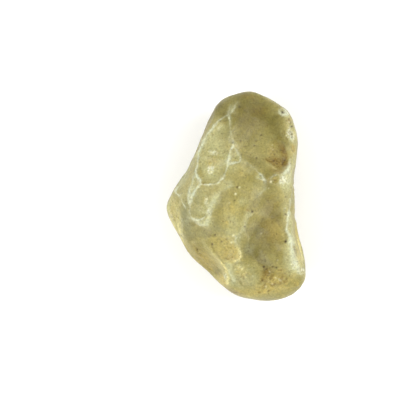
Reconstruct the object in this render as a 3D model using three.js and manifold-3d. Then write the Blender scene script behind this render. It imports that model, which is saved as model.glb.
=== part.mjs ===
// Desert glass specimen: one wind-worn pebble of natural silica glass, lying on its worn underside.
// Millimetres, +Z up. X runs across the stone, Y along it, and the scalloped face looks up.
// The stone is one solid: a rounded body with broad worn faces, wide hollows and, inside them, small cells.

import * as THREE from 'three';
import { mergeVertices } from 'three/addons/utils/BufferGeometryUtils.js';
import Module from 'manifold-3d';

// Driving dimensions of the body
const crownRise = 9.6; // from the widest level up to the top of the scalloped face
const bellyDrop = 9.8; // from the widest level down to the underside, before it is worn flat
const endThinning = 0.13; // share of the thickness that is lost towards the narrow end
const boxiness = 2.9; // 2 would make the cross section an ellipse; more squares its shoulders
const hub = new THREE.Vector3(0.6, -0.4, 0); // the middle of the body, from which it is measured
const spread = new THREE.Vector3(15, 22.6, 9.6); // half sizes, which set how the facets are spread
const restWear = 1.0; // how much of the underside is worn flat, measured up from its lowest point
const facetDetail = 20; // splits of each edge of the twenty starting triangles
const faceBlend = 16; // how tightly a worn face meets the body: more is crisper
const brinkBlend = 9; // how tightly neighbouring hollows meet in a crest: more is crisper

// The widest outline, seen from above, counterclockwise from the narrow end
const outlinePoints = [
  [3.2, 22.6], [0.0, 22.1], [-3.5, 20.6], [-5.5, 17.6], [-7.3, 13.5], [-8.7, 9.8], [-10.9, 5.4], [-13.5, 1.4],
  [-15.0, -1.6], [-15.0, -3.6], [-13.9, -6.0], [-12.1, -9.2], [-9.9, -12.9], [-6.7, -15.8], [-3.5, -19.0],
  [-0.5, -21.2], [3.4, -22.3], [8.0, -22.6], [12.5, -21.4], [14.8, -19.0], [14.9, -15.5], [14.2, -11.7],
  [13.4, -9.1], [12.9, -6.1], [12.7, -3.0], [12.4, 0.8], [12.5, 4.5], [12.9, 8.9], [13.1, 11.9], [12.4, 15.2],
  [11.1, 18.0], [8.7, 20.0], [6.2, 21.4],
];
const outlineSteps = outlinePoints.length * 24;

// Broad worn faces: bearing counterclockwise from +X and pitch above the level in degrees, and distance
// from the hub
const wornFaces = [
  { name: 'foot', bearing: 232, pitch: 44, reach: 15.2 },
  { name: 'tip', bearing: 183, pitch: 40, reach: 13.9 },
  { name: 'crown', bearing: 68, pitch: 62, reach: 12.6 },
  { name: 'heel', bearing: 300, pitch: 58, reach: 14.3 },
  { name: 'flank', bearing: 158, pitch: 52, reach: 11.9 },
  { name: 'brow', bearing: 12, pitch: 55, reach: 12.7 },
  { name: 'under the tip', bearing: 205, pitch: -50, reach: 13.4 },
  { name: 'under the crown', bearing: 80, pitch: -48, reach: 18.0 },
  { name: 'under the heel', bearing: 338, pitch: -42, reach: 15.5 },
  { name: 'under the cheek', bearing: 20, pitch: -62, reach: 10.6 },
  { name: 'under the foot', bearing: 275, pitch: -50, reach: 19.0 },
  { name: 'under the flank', bearing: 140, pitch: -44, reach: 13.0 },
];

// Hollows in the upper face, seen from above: centre, half widths across and along, turn counterclockwise in
// degrees, depth, and where they differ, crispness of the brink (0 soft, 1 sharp) and lean of the depth
const wideHollows = [
  { name: 'crown', at: [4.9, 12.6], half: [6.5, 9.2], turn: 8, depth: 2.0, crisp: 0.85, lean: [0.15, -0.3] },
  { name: 'saddle', at: [6.6, -6.4], half: [5.0, 9.6], turn: 3, depth: 1.6, crisp: 0.8, lean: [0.2, 0] },
  { name: 'foot', at: [-7.6, -13.7], half: [7.4, 3.0], turn: -51, depth: 0.8, crisp: 0.95 },
  { name: 'tip', at: [-13.8, -4.0], half: [2.0, 5.4], turn: 10, depth: 0.6, crisp: 0.95 },
  { name: 'middle', at: [-1.2, -1.2], half: [4.2, 7.5], turn: -20, depth: 0.5, crisp: 0.7 },
  { name: 'flank', at: [-9.0, 13.2], half: [2.1, 7.0], turn: -27, depth: 0.6, crisp: 0.95 },
  { name: 'shoulder', at: [-11.6, 4.2], half: [2.3, 6.0], turn: -25, depth: 0.6, crisp: 0.95 },
  { name: 'cheek', at: [13.4, -10.6], half: [1.6, 7.0], turn: 10, depth: 0.7, crisp: 0.95 },
];
const cells = [
  { name: 'rust pit', at: [8.7, 8.6], half: [2.7, 3.7], turn: 20, depth: 0.75, crisp: 0.9, lean: [0.4, -0.4] },
  { name: 'column top', at: [-3.1, 14.3], half: [1.8, 3.3], turn: -28, depth: 0.5 },
  { name: 'column middle', at: [-4.7, 10.6], half: [3.4, 3.3], turn: -20, depth: 0.5 },
  { name: 'column round', at: [-5.4, 5.6], half: [3.2, 3.4], turn: 0, depth: 0.75 },
  { name: 'column foot', at: [-7.3, -1.6], half: [2.7, 4.5], turn: -14, depth: 0.65 },
  { name: 'slit', at: [-9.3, 1.8], half: [0.7, 2.2], turn: -12, depth: 0.3 },
  { name: 'wedge', at: [-0.3, 8.7], half: [1.4, 2.1], turn: -6, depth: 0.35, crisp: 0.9 },
  { name: 'centre', at: [1.8, 3.6], half: [4.3, 3.4], turn: 8, depth: 0.45, crisp: 0.7 },
  { name: 'wink', at: [5.2, 4.4], half: [0.8, 1.0], turn: 30, depth: 0.25 },
  { name: 'middle upper', at: [-0.6, -0.6], half: [3.9, 3.4], turn: 12, depth: 0.35, crisp: 0.6 },
  { name: 'middle lower', at: [-3.2, -5.6], half: [3.6, 3.2], turn: -20, depth: 0.45, crisp: 0.6 },
  { name: 'saddle upper', at: [8.0, -1.6], half: [3.6, 4.3], turn: 15, depth: 0.6, crisp: 0.6 },
  { name: 'basin', at: [6.3, -9.4], half: [4.8, 6.0], turn: 15, depth: 0.85, crisp: 0.7, lean: [0.3, 0.1] },
  { name: 'tongue', at: [-2.6, -11.4], half: [4.3, 2.5], turn: -36, depth: 0.85, crisp: 0.9, lean: [0.6, 0] },
  { name: 'left bay', at: [-9.3, -7.2], half: [2.6, 3.2], turn: 10, depth: 0.4, crisp: 0.7 },
  { name: 'foot lower', at: [-4.2, -16.2], half: [3.0, 1.7], turn: -52, depth: 0.4, crisp: 0.7 },
  { name: 'bead', at: [1.3, -16.1], half: [1.9, 2.0], turn: 0, depth: 0.45, crisp: 0.6 },
  { name: 'toe', at: [0.9, -19.4], half: [4.2, 2.3], turn: -14, depth: 0.45, crisp: 0.6 },
  { name: 'heel inner', at: [3.6, -16.0], half: [2.2, 3.6], turn: 32, depth: 0.65, crisp: 0.85 },
  { name: 'thimble', at: [8.3, 3.4], half: [1.2, 1.1], turn: 0, depth: 0.4 },
  { name: 'crust inner', at: [8.4, -17.4], half: [2.3, 1.7], turn: 15, depth: 0.4, crisp: 0.6 },
  { name: 'crust corner', at: [11.6, -17.6], half: [2.2, 2.4], turn: 0, depth: 0.45, crisp: 0.6 },
  { name: 'crust lower', at: [6.6, -20.0], half: [2.6, 1.6], turn: 0, depth: 0.4, crisp: 0.6 },
  { name: 'brow', at: [11.0, 14.6], half: [1.4, 2.6], turn: 10, depth: 0.35, crisp: 0.6 },
  { name: 'crown slope', at: [-3.0, 19.1], half: [1.9, 2.6], turn: -34, depth: 0.35, crisp: 0.8 },
  { name: 'cheek upper', at: [12.2, -2.0], half: [0.9, 4.6], turn: 2, depth: 0.35, crisp: 0.8 },
];

// Hollows in the sides and the underside, each square to the body at the bearing and pitch of its centre
const sideHollows = [
  { name: 'belly right', bearing: 60, pitch: -62, half: [6.0, 4.6], turn: 20, depth: 0.9 },
  { name: 'belly left', bearing: 150, pitch: -55, half: [4.6, 6.2], turn: -15, depth: 0.8 },
  { name: 'belly foot', bearing: 235, pitch: -50, half: [6.0, 4.6], turn: 30, depth: 0.9 },
  { name: 'belly heel', bearing: 310, pitch: -48, half: [5.6, 5.0], turn: -25, depth: 0.9 },
  { name: 'under crown', bearing: 100, pitch: -35, half: [5.0, 4.0], turn: 0, depth: 0.7 },
  { name: 'under brow', bearing: 72, pitch: -24, half: [4.8, 4.2], turn: -15, depth: 0.65 },
  { name: 'under column', bearing: 103, pitch: -14, half: [4.2, 3.4], turn: 30, depth: 0.55 },
  { name: 'under heel', bearing: 292, pitch: -28, half: [4.6, 4.4], turn: 10, depth: 0.65 },
  { name: 'under foot', bearing: 252, pitch: -22, half: [4.4, 3.6], turn: -20, depth: 0.55 },
  { name: 'under toe', bearing: 270, pitch: -12, half: [4.6, 3.0], turn: 10, depth: 0.5 },
  { name: 'under cheek', bearing: 10, pitch: -40, half: [4.6, 3.8], turn: 80, depth: 0.7 },
  { name: 'under tip', bearing: 195, pitch: -30, half: [4.0, 3.2], turn: 70, depth: 0.6 },
  { name: 'right side high', bearing: 30, pitch: -30, half: [4.4, 3.2], turn: 60, depth: 0.6 },
  { name: 'right side low', bearing: 345, pitch: -35, half: [4.4, 3.4], turn: 100, depth: 0.6 },
  { name: 'crown edge', bearing: 75, pitch: 8, half: [4.0, 3.2], turn: 10, depth: 0.45 },
  { name: 'brow edge', bearing: 20, pitch: 6, half: [4.2, 3.0], turn: 90, depth: 0.45 },
  { name: 'cheek edge', bearing: 345, pitch: -5, half: [4.0, 3.2], turn: 80, depth: 0.5 },
  { name: 'heel edge', bearing: 312, pitch: -24, half: [4.0, 3.4], turn: 60, depth: 0.5 },
  { name: 'foot edge', bearing: 225, pitch: -17, half: [4.6, 2.8], turn: 85, depth: 0.5 },
  { name: 'flank edge', bearing: 150, pitch: -18, half: [5.0, 2.8], turn: 80, depth: 0.5 },
  { name: 'flank top', bearing: 115, pitch: -12, half: [4.0, 3.0], turn: 70, depth: 0.45 },
  { name: 'toe edge', bearing: 290, pitch: 6, half: [3.4, 2.6], turn: 60, depth: 0.4 },
  { name: 'right middle', bearing: 0, pitch: -14, half: [4.2, 3.0], turn: 85, depth: 0.5 },
  { name: 'right foot', bearing: 328, pitch: -14, half: [4.4, 3.2], turn: 75, depth: 0.5 },
  { name: 'right shoulder', bearing: 50, pitch: -10, half: [4.4, 3.0], turn: 70, depth: 0.5 },
  { name: 'crown end', bearing: 90, pitch: -14, half: [3.6, 3.0], turn: 0, depth: 0.45 },
  { name: 'tip side', bearing: 172, pitch: -26, half: [4.2, 3.0], turn: 75, depth: 0.5 },
  { name: 'tip belly', bearing: 210, pitch: -38, half: [4.0, 3.6], turn: 20, depth: 0.6 },
  { name: 'flank belly', bearing: 128, pitch: -36, half: [4.6, 3.6], turn: 40, depth: 0.6 },
  { name: 'foot side', bearing: 240, pitch: -16, half: [3.6, 2.6], turn: 70, depth: 0.4 },
  { name: 'heel side', bearing: 300, pitch: -10, half: [3.8, 3.0], turn: 60, depth: 0.45 },
];
const upperFade = [0.2, 2.6]; // heights between which the upper hollows fade in
const sideFade = [-6, -4]; // the same for a side hollow, measured out from its own centre

const up = new THREE.Vector3(0, 0, 1);

function unitVector(bearing, pitch) {
  const around = THREE.MathUtils.degToRad(bearing);
  const above = THREE.MathUtils.degToRad(pitch);
  const level = Math.cos(above);
  return new THREE.Vector3(level * Math.cos(around), level * Math.sin(around), Math.sin(above));
}

// Turns the outline into a table of bearings and radii, and reads the radius between its entries.
function makeOutlineRadius() {
  const points = outlinePoints.map(([x, y]) => new THREE.Vector3(x, y, 0));
  const curve = new THREE.CatmullRomCurve3(points, true, 'catmullrom', 0.5);
  const table = [];
  for (let step = 0; step < outlineSteps; step += 1) {
    const point = curve.getPoint(step / outlineSteps).sub(hub);
    table.push({ bearing: Math.atan2(point.y, point.x), radius: Math.hypot(point.x, point.y) });
  }
  table.sort((a, b) => a.bearing - b.bearing);
  const first = table[0];
  const last = table[table.length - 1];
  table.push({ bearing: first.bearing + 2 * Math.PI, radius: first.radius });
  table.unshift({ bearing: last.bearing - 2 * Math.PI, radius: last.radius });
  return (bearing) => {
    const next = table.findIndex((entry) => entry.bearing > bearing);
    const before = table[next - 1];
    const after = table[next];
    const share = (bearing - before.bearing) / (after.bearing - before.bearing);
    return THREE.MathUtils.lerp(before.radius, after.radius, share);
  };
}
const outlineRadius = makeOutlineRadius();
const faceNormals = wornFaces.map(({ bearing, pitch, reach }) => {
  const normal = unitVector(bearing, pitch);
  return { normal, reach };
});

// The point where the body's surface meets a ray from the hub.
function bodyPoint(direction) {
  const level = Math.hypot(direction.x, direction.y);
  const radius = outlineRadius(Math.atan2(direction.y, direction.x));
  const rise = (direction.z > 0 ? crownRise : bellyDrop) * (1 - endThinning * direction.y);
  const rounded = (level / radius) ** boxiness + (Math.abs(direction.z) / rise) ** boxiness;
  let inverse = rounded ** (faceBlend / boxiness);
  for (const { normal, reach } of faceNormals) {
    inverse += (Math.max(normal.dot(direction), 0) / reach) ** faceBlend;
  }
  return direction.clone().multiplyScalar(inverse ** (-1 / faceBlend)).add(hub);
}

// The body's outward direction at a ray, from four points close around it.
function bodyNormal(direction) {
  const aside = new THREE.Vector3().crossVectors(up, direction).normalize();
  const above = new THREE.Vector3().crossVectors(direction, aside);
  const step = 0.02;
  const pointAt = (axis, distance) => bodyPoint(direction.clone().addScaledVector(axis, distance).normalize());
  const alongAside = pointAt(aside, step).sub(pointAt(aside, -step));
  const alongAbove = pointAt(above, step).sub(pointAt(above, -step));
  return alongAside.cross(alongAbove).normalize();
}

// A gentle bend of the level plane, so that no hollow is a true ellipse.
function bend({ x, y, z }) {
  const sway = 0.32 * Math.sin(0.83 * y + 0.5 * z + 1.1) + 0.16 * Math.sin(1.9 * x - 1.3 * y + 0.4);
  const surge = 0.32 * Math.sin(0.77 * x - 0.6 * z + 2.3) + 0.16 * Math.sin(1.5 * x + 1.7 * y + 1.9);
  return new THREE.Vector3(x + sway, y + surge, z);
}

// Gives a hollow its own axes: across, along and out of the stone.
function placeHollow(hollow, centre, across, along, out, fade) {
  const turn = THREE.MathUtils.degToRad(hollow.turn);
  const turnedAcross = across.clone().multiplyScalar(Math.cos(turn)).addScaledVector(along, Math.sin(turn));
  const turnedAlong = along.clone().multiplyScalar(Math.cos(turn)).addScaledVector(across, -Math.sin(turn));
  return { crisp: 1, lean: [0, 0], ...hollow, centre, across: turnedAcross, along: turnedAlong, out, fade };
}

function placeUpperHollow(hollow) {
  const centre = new THREE.Vector3(hollow.at[0], hollow.at[1], 0);
  return placeHollow(hollow, centre, new THREE.Vector3(1, 0, 0), new THREE.Vector3(0, 1, 0), up, upperFade);
}

function placeSideHollow(hollow) {
  const direction = unitVector(hollow.bearing, hollow.pitch);
  const out = bodyNormal(direction);
  const across = new THREE.Vector3().crossVectors(up, out).normalize();
  const along = new THREE.Vector3().crossVectors(out, across);
  return placeHollow(hollow, bend(bodyPoint(direction)), across, along, out, sideFade);
}

// How deep one hollow is at a point of the stone's surface.
function hollowDepth(hollow, point) {
  const offset = bend(point).sub(hollow.centre);
  const u = offset.dot(hollow.across) / hollow.half[0];
  const v = offset.dot(hollow.along) / hollow.half[1];
  const inside = Math.max(1 - u * u - v * v, 0);
  const lean = Math.max(1 + hollow.lean[0] * u + hollow.lean[1] * v, 0);
  const fade = THREE.MathUtils.smoothstep(offset.dot(hollow.out), ...hollow.fade);
  return hollow.depth * inside ** (2 - hollow.crisp) * lean * fade;
}

// Wears a set of hollows into the surface. Where two overlap the deeper one counts, so they share one crest.
function wear(geometry, hollows) {
  geometry.computeVertexNormals();
  const position = geometry.getAttribute('position');
  const normal = geometry.getAttribute('normal');
  const point = new THREE.Vector3();
  const inward = new THREE.Vector3();
  for (let i = 0; i < position.count; i += 1) {
    point.fromBufferAttribute(position, i);
    inward.fromBufferAttribute(normal, i);
    const sum = hollows.reduce((total, hollow) => total + hollowDepth(hollow, point) ** brinkBlend, 0);
    point.addScaledVector(inward, -(sum ** (1 / brinkBlend)));
    position.setXYZ(i, point.x, point.y, point.z);
  }
}

// The whole pebble before its underside is worn flat.
function makePebble() {
  const sphere = new THREE.IcosahedronGeometry(1, facetDetail);
  sphere.deleteAttribute('normal');
  sphere.deleteAttribute('uv');
  const geometry = mergeVertices(sphere);
  const position = geometry.getAttribute('position');
  const direction = new THREE.Vector3();
  for (let i = 0; i < position.count; i += 1) {
    direction.fromBufferAttribute(position, i).multiply(spread).normalize();
    const point = bodyPoint(direction);
    position.setXYZ(i, point.x, point.y, point.z);
  }
  wear(geometry, wideHollows.map(placeUpperHollow));
  wear(geometry, [...cells.map(placeUpperHollow), ...sideHollows.map(placeSideHollow)]);
  geometry.deleteAttribute('normal');
  return geometry;
}

// Cuts the underside to the small flat that the stone rests on.
async function wearFlat(geometry) {
  const wasm = await Module();
  wasm.setup();
  const toSolid = (source) => {
    const vertProperties = source.getAttribute('position').array;
    const triVerts = Uint32Array.from(source.getIndex().array);
    return new wasm.Manifold(new wasm.Mesh({ numProp: 3, vertProperties, triVerts }));
  };
  geometry.computeBoundingBox();
  const box = geometry.boundingBox;
  const size = box.getSize(new THREE.Vector3());
  const slab = new THREE.BoxGeometry(2 * size.x, 2 * size.y, size.z);
  slab.translate(0, 0, box.min.z + restWear - size.z / 2);
  slab.deleteAttribute('normal');
  slab.deleteAttribute('uv');
  const mesh = toSolid(geometry).subtract(toSolid(mergeVertices(slab))).getMesh();
  const cut = new THREE.BufferGeometry();
  cut.setAttribute('position', new THREE.BufferAttribute(mesh.vertProperties, 3));
  cut.setIndex(new THREE.BufferAttribute(mesh.triVerts, 1));
  return cut;
}

// Puts the origin under the middle of the stone, on the surface it rests on.
function standOnOrigin(geometry) {
  geometry.computeBoundingBox();
  const { min, max } = geometry.boundingBox;
  geometry.translate(-(min.x + max.x) / 2, -(min.y + max.y) / 2, -min.z);
  geometry.computeVertexNormals();
  return geometry;
}

const glass = new THREE.MeshStandardMaterial({
  color: 0xb1a876,
  roughness: 0.45,
  metalness: 0,
  flatShading: true,
});
const stone = new THREE.Mesh(standOnOrigin(await wearFlat(makePebble())), glass);
stone.name = 'desert_glass';

const specimen = new THREE.Group();
specimen.add(stone);

export default specimen;
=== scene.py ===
import math

import bpy
import numpy as np
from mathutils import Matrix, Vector, noise


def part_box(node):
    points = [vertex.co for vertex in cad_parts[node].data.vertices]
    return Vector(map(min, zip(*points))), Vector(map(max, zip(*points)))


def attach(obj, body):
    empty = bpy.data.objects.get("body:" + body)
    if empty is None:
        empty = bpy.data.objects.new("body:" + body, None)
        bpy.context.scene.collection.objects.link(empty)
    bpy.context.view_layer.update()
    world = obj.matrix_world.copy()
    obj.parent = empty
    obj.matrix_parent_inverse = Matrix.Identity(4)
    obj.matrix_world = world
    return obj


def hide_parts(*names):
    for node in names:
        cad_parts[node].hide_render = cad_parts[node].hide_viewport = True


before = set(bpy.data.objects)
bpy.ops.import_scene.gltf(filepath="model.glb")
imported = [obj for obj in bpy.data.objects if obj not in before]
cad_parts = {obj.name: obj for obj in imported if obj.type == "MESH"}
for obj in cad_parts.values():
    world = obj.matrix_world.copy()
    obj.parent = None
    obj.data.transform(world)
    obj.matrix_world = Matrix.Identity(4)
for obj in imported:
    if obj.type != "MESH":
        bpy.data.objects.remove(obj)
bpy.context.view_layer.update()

mm = 0.001
cadLow, cadHigh = (np.array(corner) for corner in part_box("desert_glass"))
print("frame loaded, stone", [round(v / mm, 2) for v in cadHigh - cadLow], "mm")

# The stone, in mm about its widest level: x across, y along, z up out of the scalloped face
pebble = {
    "crownRise": 9.6,  # from the widest level up to the top of the scalloped face
    "bellyDrop": 9.8,
    "endThinning": 0.13,  # of the top, as the foot thickens
    "boxiness": 2.9,  # 2 is an ellipse, more squares the shoulders
    "hub": (0.6, -0.4, 0.0),
    "cuts": (124, 186, 84),  # in the mesh across, along and up
    "spread": (15.0, 22.6, 9.6),  # which evens them out
    "faceBlend": 16,  # how crisply a worn face meets the body
    "brinkBlend": 9,  # how crisply neighbouring hollows meet in a crest
    "upperFade": (0.2, 2.6),  # heights between which the upper hollows fade in
    "sideFade": (-6, -4),  # the same for a side hollow, outward from its middle
    # waves: height, radians per mm along x, y and z, and start
    "bendAcross": [(0.32, 0, 0.83, 0.5, 1.1), (0.16, 1.9, -1.3, 0, 0.4)],
    "bendAlong": [(0.32, 0.77, 0, -0.6, 2.3), (0.16, 1.5, 1.7, 0, 1.9)],
    "outline": [
        (3.2, 22.6), (0, 22.1), (-3.5, 20.6), (-5.5, 17.6), (-7.3, 13.5), (-8.7, 9.8), (-10.9, 5.4),
        (-13.5, 1.4), (-15, -1.6), (-15, -3.6), (-13.9, -6), (-12.1, -9.2), (-9.9, -12.9), (-6.7, -15.8),
        (-3.5, -19), (-0.5, -21.2), (3.4, -22.3), (8, -22.6), (12.5, -21.4), (14.8, -19), (14.9, -15.5),
        (14.2, -11.7), (13.4, -9.1), (12.9, -6.1), (12.7, -3), (12.4, 0.8), (12.5, 4.5), (12.9, 8.9),
        (13.1, 11.9), (12.4, 15.2), (11.1, 18), (8.7, 20), (6.2, 21.4),
    ],
    # broad worn faces: bearing and pitch in degrees, distance from the hub
    "wornFaces": [
        (232, 44, 15.2), (183, 40, 13.9), (68, 62, 12.6), (300, 58, 14.3), (158, 52, 11.9), (12, 55, 12.7),
        (205, -50, 13.4), (80, -48, 18), (338, -42, 15.5), (20, -62, 10.6), (275, -50, 19), (140, -44, 13),
    ],
    "seed": 2,  # of the noise that wears lines and patches
    "fineNoise": (0.9, 0.0), "patchNoise": (1.7, 40),  # size and shift
    # how a line sways, swells and wears thin, and how far and strongly its halo spreads
    "lineWear": {
        "sway": 0.18, "swell": 0.8, "wear": 0.6, "faintest": 0.55, "boldest": 1.15, "reach": 2.5,
        "halo": 0.35, "haloSpread": 2.6,
    },
    # how a patch's edge drifts and frays, and where it lies as a share of the half width
    "patchWear": {"drift": 0.35, "fray": 0.16, "edge": 0.9},
    "upperSlope": (0.0, 0.3),  # upward lean of the surface over which the upper face's markings fade in
    # relief finer than the hollows: of grain and crust the height, size, fineness, step and octaves
    "relief": {
        "grain": (0.05, 2.4, 0.8, 2.1, 4), "crust": (0.22, 1.1, 0.7, 2.2, 3), "pinhole": 0.16, "brink": 0.09,
    },
    # what pales the edges (worn brinks, partly painted highlight), tones hollows, darkens the brims with
    # painted shade, and draws the wind pits
    "tone": {
        "rounds": (6, 60),  # of smoothing that show up an edge and a hollow
        "edgeFrom": 0.008, "edgeRise": 0.035, "edgeStrength": 0.6, "upperLess": 0.45,
        "hollow": 0.12, "brimSlope": (0.0, 0.35),
        "barePitting": 0.25, "pitting": {"crust": 0.6, "iron": 0.4, "honey": 0.3},
    },
}
# Hollows of the upper face: x, y, half width across and along, turn, depth, crispness of the brink,
# lean x, lean y
pebble["wideHollows"] = {
    "crown": (4.9, 12.6, 6.5, 9.2, 8, 2, 0.85, 0.15, -0.3),
    "saddle": (6.6, -6.4, 5, 9.6, 3, 1.6, 0.8, 0.2, 0),
    "foot": (-7.6, -13.7, 7.4, 3, -51, 0.8, 0.95, 0, 0),
    "tip": (-13.8, -4, 2, 5.4, 10, 0.6, 0.95, 0, 0),
    "middle": (-1.2, -1.2, 4.2, 7.5, -20, 0.5, 0.7, 0, 0),
    "flank": (-9, 13.2, 2.1, 7, -27, 0.6, 0.95, 0, 0),
    "shoulder": (-11.6, 4.2, 2.3, 6, -25, 0.6, 0.95, 0, 0),
    "cheek": (13.4, -10.6, 1.6, 7, 10, 0.7, 0.95, 0, 0),
}
pebble["cells"] = {
    "rustPit": (8.7, 8.6, 2.7, 3.7, 20, 0.75, 0.9, 0.4, -0.4),
    "columnTop": (-3.1, 14.3, 1.8, 3.3, -28, 0.5, 1, 0, 0),
    "columnMiddle": (-4.7, 10.6, 3.4, 3.3, -20, 0.5, 1, 0, 0),
    "columnRound": (-5.4, 5.6, 3.2, 3.4, 0, 0.75, 1, 0, 0),
    "columnFoot": (-7.3, -1.6, 2.7, 4.5, -14, 0.65, 1, 0, 0),
    "slit": (-9.3, 1.8, 0.7, 2.2, -12, 0.3, 1, 0, 0),
    "wedge": (-0.3, 8.7, 1.4, 2.1, -6, 0.35, 0.9, 0, 0),
    "centre": (1.8, 3.6, 4.3, 3.4, 8, 0.45, 0.7, 0, 0),
    "wink": (5.2, 4.4, 0.8, 1, 30, 0.25, 1, 0, 0),
    "middleUpper": (-0.6, -0.6, 3.9, 3.4, 12, 0.35, 0.6, 0, 0),
    "middleLower": (-3.2, -5.6, 3.6, 3.2, -20, 0.45, 0.6, 0, 0),
    "saddleUpper": (8, -1.6, 3.6, 4.3, 15, 0.6, 0.6, 0, 0),
    "basin": (6.3, -9.4, 4.8, 6, 15, 0.85, 0.7, 0.3, 0.1),
    "tongue": (-2.6, -11.4, 4.3, 2.5, -36, 0.85, 0.9, 0.6, 0),
    "leftBay": (-9.3, -7.2, 2.6, 3.2, 10, 0.4, 0.7, 0, 0),
    "footLower": (-4.2, -16.2, 3, 1.7, -52, 0.4, 0.7, 0, 0),
    "bead": (1.3, -16.1, 1.9, 2, 0, 0.45, 0.6, 0, 0),
    "toe": (0.9, -19.4, 4.2, 2.3, -14, 0.45, 0.6, 0, 0),
    "heelInner": (3.6, -16, 2.2, 3.6, 32, 0.65, 0.85, 0, 0),
    "thimble": (8.3, 3.4, 1.2, 1.1, 0, 0.4, 1, 0, 0),
    "crustInner": (8.4, -17.4, 2.3, 1.7, 15, 0.4, 0.6, 0, 0),
    "crustCorner": (11.6, -17.6, 2.2, 2.4, 0, 0.45, 0.6, 0, 0),
    "crustLower": (6.6, -20, 2.6, 1.6, 0, 0.4, 0.6, 0, 0),
    "brow": (11, 14.6, 1.4, 2.6, 10, 0.35, 0.6, 0, 0),
    "crownSlope": (-3, 19.1, 1.9, 2.6, -34, 0.35, 0.8, 0, 0),
    "cheekUpper": (12.2, -2, 0.9, 4.6, 2, 0.35, 0.8, 0, 0),
}
# Hollows of the sides and underside: bearing, pitch, half width across and along, turn, depth
pebble["sideHollows"] = [
    (60, -62, 6, 4.6, 20, 0.9), (150, -55, 4.6, 6.2, -15, 0.8), (235, -50, 6, 4.6, 30, 0.9),
    (310, -48, 5.6, 5, -25, 0.9), (100, -35, 5, 4, 0, 0.7), (72, -24, 4.8, 4.2, -15, 0.65),
    (103, -14, 4.2, 3.4, 30, 0.55), (292, -28, 4.6, 4.4, 10, 0.65), (252, -22, 4.4, 3.6, -20, 0.55),
    (270, -12, 4.6, 3, 10, 0.5), (10, -40, 4.6, 3.8, 80, 0.7), (195, -30, 4, 3.2, 70, 0.6),
    (30, -30, 4.4, 3.2, 60, 0.6), (345, -35, 4.4, 3.4, 100, 0.6), (75, 8, 4, 3.2, 10, 0.45),
    (20, 6, 4.2, 3, 90, 0.45), (345, -5, 4, 3.2, 80, 0.5), (312, -24, 4, 3.4, 60, 0.5),
    (225, -17, 4.6, 2.8, 85, 0.5), (150, -18, 5, 2.8, 80, 0.5), (115, -12, 4, 3, 70, 0.45),
    (290, 6, 3.4, 2.6, 60, 0.4), (0, -14, 4.2, 3, 85, 0.5), (328, -14, 4.4, 3.2, 75, 0.5),
    (50, -10, 4.4, 3, 70, 0.5), (90, -14, 3.6, 3, 0, 0.45), (172, -26, 4.2, 3, 75, 0.5),
    (210, -38, 4, 3.6, 20, 0.6), (128, -36, 4.6, 3.6, 40, 0.6), (240, -16, 3.6, 2.6, 70, 0.4),
    (300, -10, 3.8, 3, 60, 0.45),
]
# Lines along the stone's edges, of each kind of marking: x, y, strength and half width in hundredths
pebble["lines"] = {}
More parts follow.
